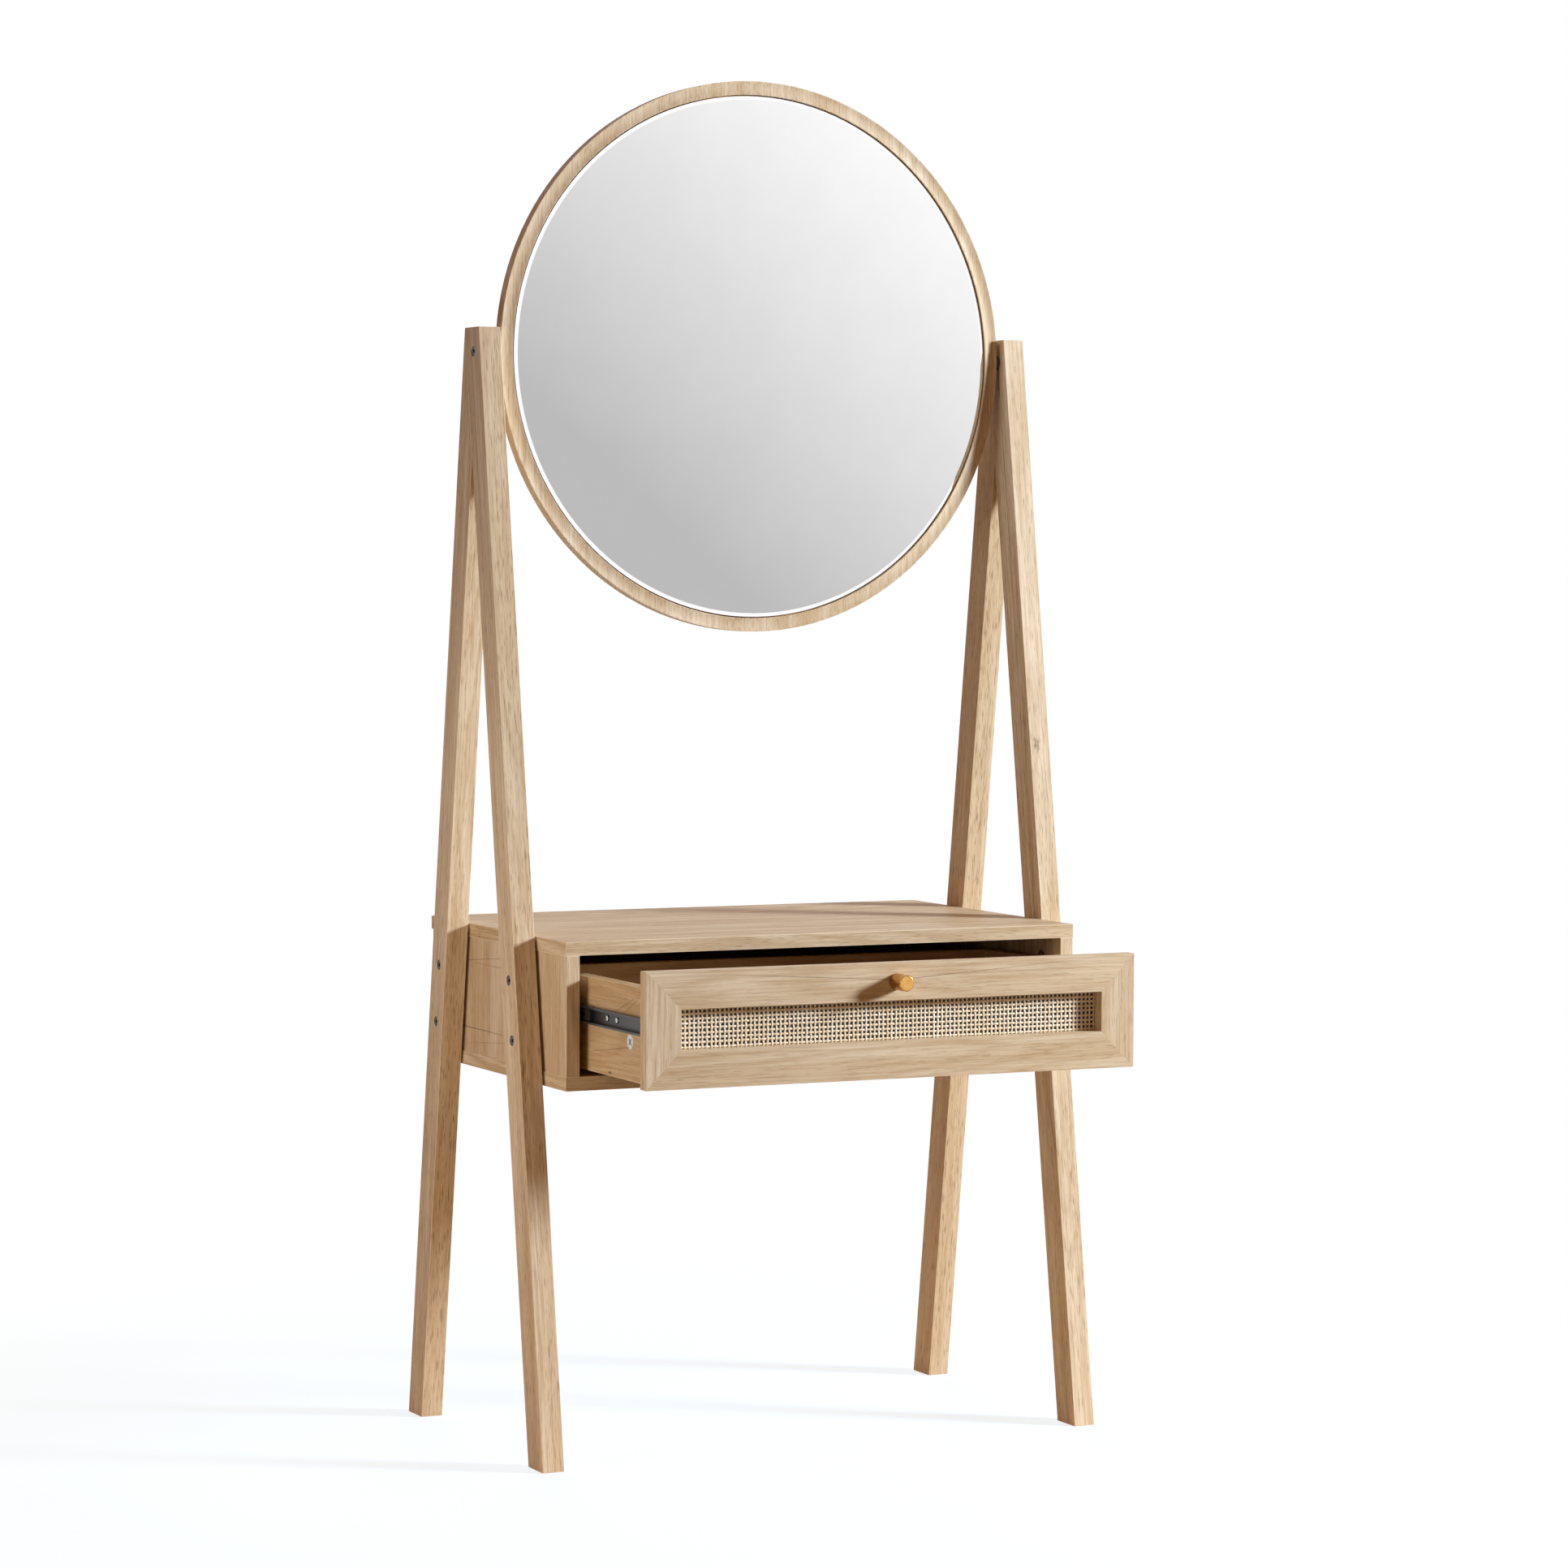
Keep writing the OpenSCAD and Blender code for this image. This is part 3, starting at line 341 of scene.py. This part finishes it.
def finish_wood():
    """Oak foil, each piece from its own place in the pattern, and the backs and dowels."""
    # The two pale edge finishes are a painted highlight along the softened edges
    highlight_across = oak("oak_foil_painted_highlight_across", GRAIN_X, (40, 10, 0), OAK_PAINTED_HIGHLIGHT, 0.2, 0.3)
    highlight_upright = oak("oak_foil_painted_highlight_upright", GRAIN_Z, (10, 40, 0), OAK_PAINTED_HIGHLIGHT, 0.2, 0.3)
    mitre = oak("oak_foil_mitre_edge", GRAIN_X, (70, 20, 0), OAK, 0.2, 0.3)
    chance = random.Random(WOOD_SEED)

    def start():
        """The next piece's place in the pattern."""
        return tuple(chance.uniform(0, PATTERN) for _ in range(3))

    for side in ("left", "right"):
        for end in ("front", "rear"):
            node = f"{side}_{end}_leg"
            finish(node, oak("oak_foil_" + node, leg_grain(node), start(), OAK, 0.35, 0.8),
                   highlight_upright)
        finish(f"case_{side}_side", oak(f"oak_foil_case_{side}", GRAIN_Z, start(), OAK, 0.45, 0.5),
               highlight_upright)
        finish(f"front_{side}_stile",
               oak(f"oak_foil_{side}_stile", GRAIN_Z, start(), OAK, 0.3, 0.55), mitre, FRONT_ROUND)
        finish(f"drawer_{side}_side",
               oak(f"oak_foil_drawer_{side}", GRAIN_Y, start(), INSIDE_OAK, 0.5, 0.35), highlight_across)
    for part in ("top", "bottom"):
        finish(f"case_{part}", oak(f"oak_foil_case_{part}", GRAIN_X, start(), OAK, 0.6, 0.5,
                                   end_grain=GRAIN_Y, gloss_level=0.02), highlight_across)
        finish(f"front_{part}_rail",
               oak(f"oak_foil_{part}_rail", GRAIN_X, start(), OAK, 0.4, 0.35), mitre, FRONT_ROUND)
    finish("drawer_back", oak("oak_foil_drawer_back", GRAIN_X, start(), INSIDE_OAK, 0.5, 0.35),
           highlight_across)
    finish("mirror_ring", oak("oak_foil_ring", GRAIN_Z, start(), OAK, 0.3, 0.5))
    hardboard = pressed_fibre("brown_hardboard", "#7d5734", "#5f3f25", 0.9, 0.6)
    for node in ("case_back", "drawer_bottom"):
        finish(node, hardboard)
    finish("mirror_backing", pressed_fibre("raw_fibreboard", "#a98962", "#8d6d49", 0.8, 0.8))
    finish("cane_backing", pressed_fibre("black_stained_board", "#120e0a", "#080604", 0.8, 0.75))
    beech = oak("beech_dowel", GRAIN_X, (0, 0, 0), INSIDE_OAK, 0.1, 0.2)
    for node in ("apex_dowels", "case_dowels", "drawer_dowels", "front_corner_keys"):
        finish(node, beech)


def finish_hardware():
    """Metal, plastic, rubber, foam and glass. Gives back the zinc plate, for the screws."""
    black_oxide = coated("black_oxide_steel", "#141312", "#242220", 0.34, 0.5)
    zinc = plated("bright_zinc_plate", "#dcdad4", "#b5b2ab", 0.20, 0.16, 0.7)
    coat = coated("black_e_coated_steel", "#111214", "#202123", 0.30, 0.4, 0.6)
    nylon = coated("grey_nylon", "#3b3b3a", "#2c2c2b", 0.55, 0.4)
    greased = plated("greased_cage_steel", "#8d8b86", "#6c6a66", 0.35, 0.2, 0.8)
    for node in ("leg_bolts", "pivot_bolts"):
        finish(node, black_oxide)
    for node in ("leg_inserts", "pivot_inserts", "case_cam_locks", "case_cam_pins",
                 "drawer_cam_locks", "drawer_cam_pins", "backing_screws", "drawer_back_screws",
                 "knob_screw", "retaining_plates"):
        finish(node, zinc)
    for side in ("left", "right"):
        finish(f"{side}_slide_rail", coat)
        finish(f"{side}_runner", coat)
        finish(f"{side}_ball_cage", greased)
    for node in ("leg_spacers", "pivot_spacers"):
        finish(node, nylon)
    finish("slide_balls", plated("polished_ball_steel", "#e8e8e8", "#d4d4d4", 0.08, 0.06, 0.9))
    finish("slide_bumpers", coated("black_rubber", "#171717", "#101010", 0.8, 0.5, 0.3))
    finish("release_levers", coated("black_acetal", "#131313", "#1d1d1d", 0.4, 0.6))
    finish("glass_pads", coated("white_foam_tape", "#e8e6e0", "#d8d5cd", 0.9, 0.6, 0.2))
    low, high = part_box("knob")
    centre = (low + high) / 2
    finish("knob", turned_brass("satin_turned_brass", centre, 0.34),
           turned_brass("polished_brass_rim", centre, 0.16), RIM_ROUND)
    finish("mirror_glass", silvered_glass("silvered_float_glass"))
    return zinc


# ---- pieces made here ----

SMOOTH = math.radians(50)  # faces that meet at less than this are shaded as one


def set_outward(mesh):
    """Turns every face outward and shades it smooth, up to a sharp angle."""
    work = bmesh.new()
    work.from_mesh(mesh)
    bmesh.ops.recalc_face_normals(work, faces=work.faces)
    for edge in work.edges:
        edge.smooth = edge.calc_face_angle(0) < SMOOTH
    for face in work.faces:
        face.smooth = True
    work.to_mesh(mesh)
    work.free()


def make_piece(name, points, faces, material, body):
    """A new piece that rides on a body and takes the finish given to it."""
    mesh = bpy.data.meshes.new(name)
    mesh.from_pydata(points, [], faces)
    set_outward(mesh)
    mesh.materials.append(material)
    piece = bpy.data.objects.new(name, mesh)
    bpy.context.scene.collection.objects.link(piece)
    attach(piece, body)
    return piece


# ---- woven cane ----

CANE_PITCH = 5.0 * MM
CANE_WIDTH = 2.35 * MM
CANE_THICK = 0.50 * MM
CANE_SHIFT = 0.2 * MM    # how far a strand may lie from its even place
CANE_WANDER = 0.15 * MM  # how far it sways along its length
CANE_SWAY = 27 * MM      # the length over which it sways by one radian
CANE_UNEVEN = (0.90, 1.08)  # the narrowest and widest strand, as shares of CANE_WIDTH
CANE_STEPS = 4           # stretches of a strand from one crossing to the next
UPRIGHT_SEED, LEVEL_SEED = 3, 5
# The strand's section, as shares of its width and thickness: flat behind and domed in front
CANE_SECTION = [(-0.5, -0.5), (-0.42, 0.2), (-0.16, 0.5), (0.16, 0.5), (0.42, 0.2), (0.5, -0.5)]


def cane_strands(name, upright, material):
    """All strands of one direction, each over and under those that cross it."""
    low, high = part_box("cane_panel")
    run, lie = (2, 0) if upright else (0, 2)
    length, spread = high[run] - low[run], high[lie] - low[lie]
    count = int(spread / CANE_PITCH)
    crossings = int(length / CANE_PITCH)
    first_strand = (low[lie] + high[lie]) / 2 - (count - 1) / 2 * CANE_PITCH
    first_crossing = (low[run] + high[run]) / 2 - (crossings - 1) / 2 * CANE_PITCH
    middle = (low.y + high.y) / 2
    swing = (high.y - low.y - CANE_THICK) / 2
    sides = len(CANE_SECTION)
    chance = random.Random(UPRIGHT_SEED if upright else LEVEL_SEED)
    points, faces = [], []
    for strand in range(count):
        width = CANE_WIDTH * chance.uniform(*CANE_UNEVEN)
        shift = chance.uniform(-1, 1) * CANE_SHIFT
        phase = chance.uniform(0, 2 * math.pi)
        rings = []
        for i in range(crossings * CANE_STEPS + 1):
            at = i / CANE_STEPS - 0.5
            over = math.cos(math.pi * (at + strand + (0 if upright else 1)))
            along = first_crossing + at * CANE_PITCH
            sway = CANE_WANDER * math.sin(along / CANE_SWAY + phase)
            rings.append(len(points))
            for across, out in CANE_SECTION:
                point = [0.0, middle - swing * over - out * CANE_THICK, 0.0]
                point[run] = along
                point[lie] = first_strand + strand * CANE_PITCH + shift + sway + across * width
                points.append(point)
        for a, b in zip(rings, rings[1:]):
            for k in range(sides):
                faces.append((a + k, a + (k + 1) % sides, b + (k + 1) % sides, b + k))
        faces.append([rings[0] + k for k in range(sides)])
        faces.append([rings[-1] + k for k in reversed(range(sides))])
    return make_piece(name, points, faces, material, "drawer")


# ---- screw heads ----

HEAD_TURNS = 40
HEAD_RINGS = 12
CROSS_REACH = 0.52   # of the head's radius
CROSS_WIDTH = 0.17   # of the head's radius, half the width of one arm
CROSS_DEPTH = 0.9 * MM
DOME_FALL = 0.62     # how fast a head falls away towards its rim
HEAD_TURN = 1.1      # radians from the cross of one head to that of the next


def backwards(_):
    """The way of heads that look to the back."""
    return Vector((0, 1, 0))


def outwards(centre):
    """The way of heads that look away from the middle."""
    return Vector((math.copysign(1, centre.x), 0, 0))


def inwards(centre):
    """The way of heads that look to the middle."""
    return Vector((-math.copysign(1, centre.x), 0, 0))


# Each node of screws: the way its heads look, their radius and height, and the body
SCREWS = {"runner_screws": (outwards, 3.2 * MM, 1.8 * MM, "drawer"),
          "rail_screws": (inwards, 3.2 * MM, 1.8 * MM, "stand"),
          "plate_screws": (backwards, 3.0 * MM, 1.6 * MM, "mirror"),
          "back_screws": (backwards, 3.0 * MM, 1.0 * MM, "stand")}


def head_points(radius, height):
    """A domed head with a cross recess, standing on Z = 0: its points, ring by ring."""
    points = [(0, 0, height - CROSS_DEPTH)]
    for ring in range(1, HEAD_RINGS + 1):
        r = radius * ring / HEAD_RINGS
        dome = height * math.sqrt(max(0.0, 1 - DOME_FALL * (r / radius) ** 3))
        for turn in range(HEAD_TURNS):
            angle = 2 * math.pi * turn / HEAD_TURNS
            x, y = r * math.cos(angle), r * math.sin(angle)
            in_arm = min(abs(x), abs(y)) < CROSS_WIDTH * radius and r < CROSS_REACH * radius
            points.append((x, y, dome - (CROSS_DEPTH if in_arm else 0)))
    for turn in range(HEAD_TURNS):
        angle = 2 * math.pi * turn / HEAD_TURNS
        points.append((radius * math.cos(angle), radius * math.sin(angle), 0))
    return points


def head_faces(first):
    """The faces between a head's points, of which the first has the number first."""
    faces = [(first, first + 1 + t, first + 1 + (t + 1) % HEAD_TURNS) for t in range(HEAD_TURNS)]
    for ring in range(HEAD_RINGS):
        a = first + 1 + ring * HEAD_TURNS
        b = a + HEAD_TURNS
        for t in range(HEAD_TURNS):
            n = (t + 1) % HEAD_TURNS
            faces.append((a + t, b + t, b + n, a + n))
    last = first + 1 + HEAD_RINGS * HEAD_TURNS
    faces.append([last + t for t in reversed(range(HEAD_TURNS))])
    return faces


def seats(node, outward, height):
    """Where the underside of each head of a node lies, from the node's own separate solids."""
    work = bmesh.new()
    work.from_mesh(nodes[node].data)
    bmesh.ops.remove_doubles(work, verts=work.verts, dist=WELD_GAP)
    left, found = set(work.verts), []
    while left:
        group, todo = [], [left.pop()]
        while todo:
            vert = todo.pop()
            group.append(vert.co.copy())
            for edge in vert.link_edges:
                other = edge.other_vert(vert)
                if other in left:
                    left.remove(other)
                    todo.append(other)
        low = Vector([min(p[k] for p in group) for k in range(3)])
        high = Vector([max(p[k] for p in group) for k in range(3)])
        middle = (low + high) / 2
        way = outward(middle)
        tip = max(p.dot(way) for p in group)
        found.append(middle + way * (tip - middle.dot(way) - height))
    work.free()
    return sorted(found, key=lambda p: (round(p.z, 4), round(p.x, 4), round(p.y, 4)))


def make_screws(material):
    """Domed heads in place of the plain screws."""
    for node, (outward, radius, height, body) in SCREWS.items():
        points, faces = [], []
        for index, seat in enumerate(seats(node, outward, height)):
            turn = outward(seat).to_track_quat("Z", "Y").to_matrix()
            turn = turn @ Matrix.Rotation(index * HEAD_TURN, 3, "Z")
            faces += head_faces(len(points))
            points += [seat + turn @ Vector(p) for p in head_points(radius, height)]
        name = node.replace("screws", "screw_heads")
        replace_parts(make_piece(name, points, faces, material, body), node)


# ---- studio ----

AIM = (0.0, 0.0, 0.85)
# Each lamp: its place, its size, its power in watts and its colour
LAMPS = {"key": ((3.30, -2.15, 1.80), 0.8, 258, "#f0f7fd"),
         "side": ((-1.00, -0.15, 0.50), 0.5, 2.7, "#fff4e6"),
         "back": ((1.20, 3.80, 1.10), 2.0, 90, "#ffffff")}
FILL = "#ffac65"
FILL_STRENGTH = 0.22
# A soft grey card that the mirror sees: where it stands, how grey it is, and its soft edge
CARD_HEADING, CARD_HEIGHT = -17.15, -33.86  # degrees, from straight in front of the mirror
CARD_GREY = 0.512
CARD_INNER, CARD_OUTER = 51.67, 56.94       # degrees from its middle
CARD_SIDE, CARD_SIDE_SOFT = 14.0, 2.0       # it ends at this heading, so the bevel stays white
FLOOR_SIZE = 30
FLOOR_DROP = 0.2 * MM                       # keeps the floor out of the plane of the feet
FLOOR_FADE = (0.45, 1.3)                    # metres from the object's middle
FLOOR_SHOWN, FLOOR_LIFT = "#7c95ae", 0.81   # together white where the lamps reach
# The warm light that the floor gives back, near the object and further off
FLOOR_BOUNCE, FAR_BOUNCE = "#d8bf9a", "#4a3a28"


def make_lamp(name, place, size, power, colour):
    """A round soft lamp that looks at the object."""
    data = bpy.data.lights.new(name, "AREA")
    data.shape = "DISK"
    data.size = size
    data.energy = power
    data.color = linear(colour)[:3]
    made = bpy.data.objects.new(name, data)
    made.location = place
    made.rotation_mode = "QUATERNION"
    made.rotation_quaternion = (Vector(AIM) - Vector(place)).to_track_quat("-Z", "Y")
    made.visible_camera = False
    made.visible_glossy = name == "key"  # the others would glare on the table top
    bpy.context.scene.collection.objects.link(made)


def seen_rays(tree):
    """1 for rays from the camera or a reflection, and 0 for light on its way to a surface."""
    rays = add(tree, "LightPath")
    return add(tree, "Math", {0: rays.outputs["Is Camera Ray"],
                              1: rays.outputs["Is Glossy Ray"]}, operation="MAXIMUM")


def make_world():
    """Warm fill light, seen as a white room by the camera and in the mirror."""
    world = bpy.data.worlds.new("studio")
    world.use_nodes = True
    bpy.context.scene.world = world
    tree = world.node_tree
    tree.nodes.clear()
    heading, height = math.radians(CARD_HEADING), math.radians(CARD_HEIGHT)
    way = (math.sin(heading) * math.cos(height), -math.cos(heading) * math.cos(height),
           math.sin(height))
    ray = add(tree, "TexCoord").outputs["Generated"]
    toward = add(tree, "VectorMath", {0: ray, 1: way},
                 operation="DOT_PRODUCT").outputs["Value"]
    card = add(tree, "MapRange", {"Value": toward, "From Min": math.cos(math.radians(CARD_OUTER)),
                                  "From Max": math.cos(math.radians(CARD_INNER))})
    side, soft = math.radians(CARD_SIDE), math.sin(math.radians(CARD_SIDE_SOFT))
    past = add(tree, "VectorMath", {0: ray, 1: (math.cos(side), math.sin(side), 0)},
               operation="DOT_PRODUCT").outputs["Value"]
    kept = add(tree, "MapRange", {"Value": past, "From Min": -soft, "From Max": soft})
    part = add(tree, "Math", {0: card, 1: kept}, operation="MULTIPLY")
    mirrored = add(tree, "Math", {0: part, 1: add(tree, "LightPath").outputs["Is Glossy Ray"]},
                   operation="MULTIPLY")
    room = add(tree, "Mix", {"Factor": mirrored, "A": WHITE, "B": (CARD_GREY,) * 3 + (1,)},
               data_type="RGBA")
    fill = add(tree, "Background", {"Color": linear(FILL), "Strength": FILL_STRENGTH})
    shown = add(tree, "Background", {"Color": room, "Strength": 1.0})
    both = add(tree, "MixShader", {0: seen_rays(tree), 1: fill, 2: shown})
    add(tree, "OutputWorld", {"Surface": both})


def make_floor():
    """A pale floor that keeps the object's shadow and fades to white further off."""
    half = FLOOR_SIZE / 2
    corners = [(-half, -half, 0), (half, -half, 0), (half, half, 0), (-half, half, 0)]
    mesh = bpy.data.meshes.new("floor")
    mesh.from_pydata(corners, [], [(0, 1, 2, 3)])
    floor = bpy.data.objects.new("floor", mesh)
    floor.location.z = -FLOOR_DROP
    bpy.context.scene.collection.objects.link(floor)
    made, tree = new_material("white_studio_floor")
    seen = seen_rays(tree)
    away = add(tree, "VectorMath", {0: add(tree, "TexCoord").outputs["Object"]},
               operation="LENGTH").outputs["Value"]
    faded = add(tree, "MapRange", {"Value": away, "From Min": FLOOR_FADE[0],
                                   "From Max": FLOOR_FADE[1]})
    fade = add(tree, "Math", {0: faded, 1: seen}, operation="MULTIPLY")
    bounce = add(tree, "Mix", {"Factor": faded, "A": linear(FLOOR_BOUNCE), "B": linear(FAR_BOUNCE)},
                 data_type="RGBA")
    tone = add(tree, "Mix", {"Factor": seen, "A": bounce, "B": linear(FLOOR_SHOWN)},
               data_type="RGBA")
    lift = add(tree, "Math", {0: seen, 1: FLOOR_LIFT}, operation="MULTIPLY")
    matt = add(tree, "BsdfDiffuse", {"Color": tone})
    glow = add(tree, "Emission", {"Color": WHITE, "Strength": lift})
    near = add(tree, "AddShader", {0: matt, 1: glow})
    far = add(tree, "Emission", {"Color": WHITE, "Strength": 1.0})
    add(tree, "OutputMaterial", {"Surface": add(tree, "MixShader", {0: fade, 1: near, 2: far})})
    mesh.materials.append(made)


make_camera()
finish_wood()
make_screws(finish_hardware())
warp = cane_strands("cane_upright_strands", True, split_cane("split_cane_upright", GRAIN_Z))
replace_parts(warp, "cane_panel")
cane_strands("cane_level_strands", False, split_cane("split_cane_level", GRAIN_X))
for lamp, settings in LAMPS.items():
    make_lamp(lamp, *settings)
make_world()
make_floor()
bpy.context.scene.view_settings.view_transform = "Standard"
